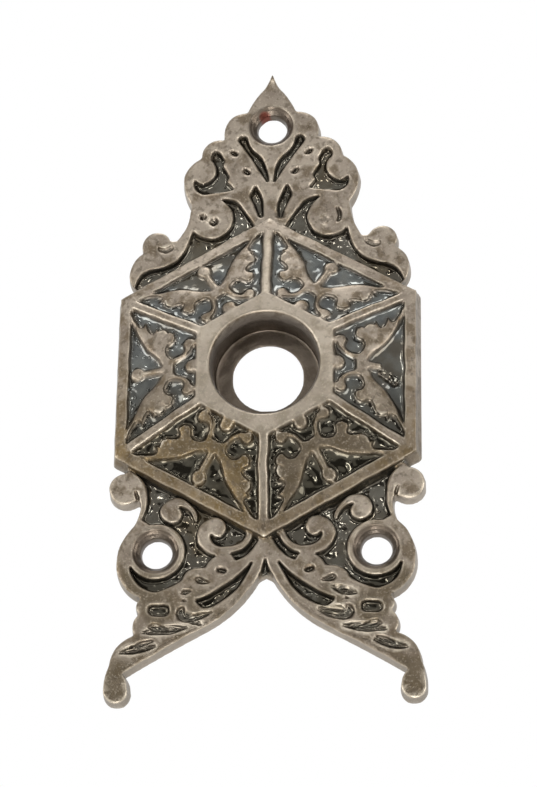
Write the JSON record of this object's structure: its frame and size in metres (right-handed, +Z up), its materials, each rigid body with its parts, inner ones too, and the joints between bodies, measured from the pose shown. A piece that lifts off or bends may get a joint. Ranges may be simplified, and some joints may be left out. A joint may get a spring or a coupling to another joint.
{
  "type": "door backplate",
  "caption": "Ornate cast bronze door backplate: a hexagonal boss of leaf panels round a stepped knob bore, scrolled flange with a pointed top, splayed feet and countersunk screw holes.",
  "frame": {"origin": "centre of the knob bore on the back face, the face that lies on the door", "axes": "+Z up the door, front of the plate towards -Y, back face on Y = 0, +X to the right as seen from the front"},
  "size_m": [0.05, 0.0083, 0.109],
  "materials": {
    "antique_bronze": "cast, worn satin on the high parts, dark patina in the recesses"
  },
  "bodies": {
    "root": {"backplate": "antique_bronze"}
  },
  "joints": []
}
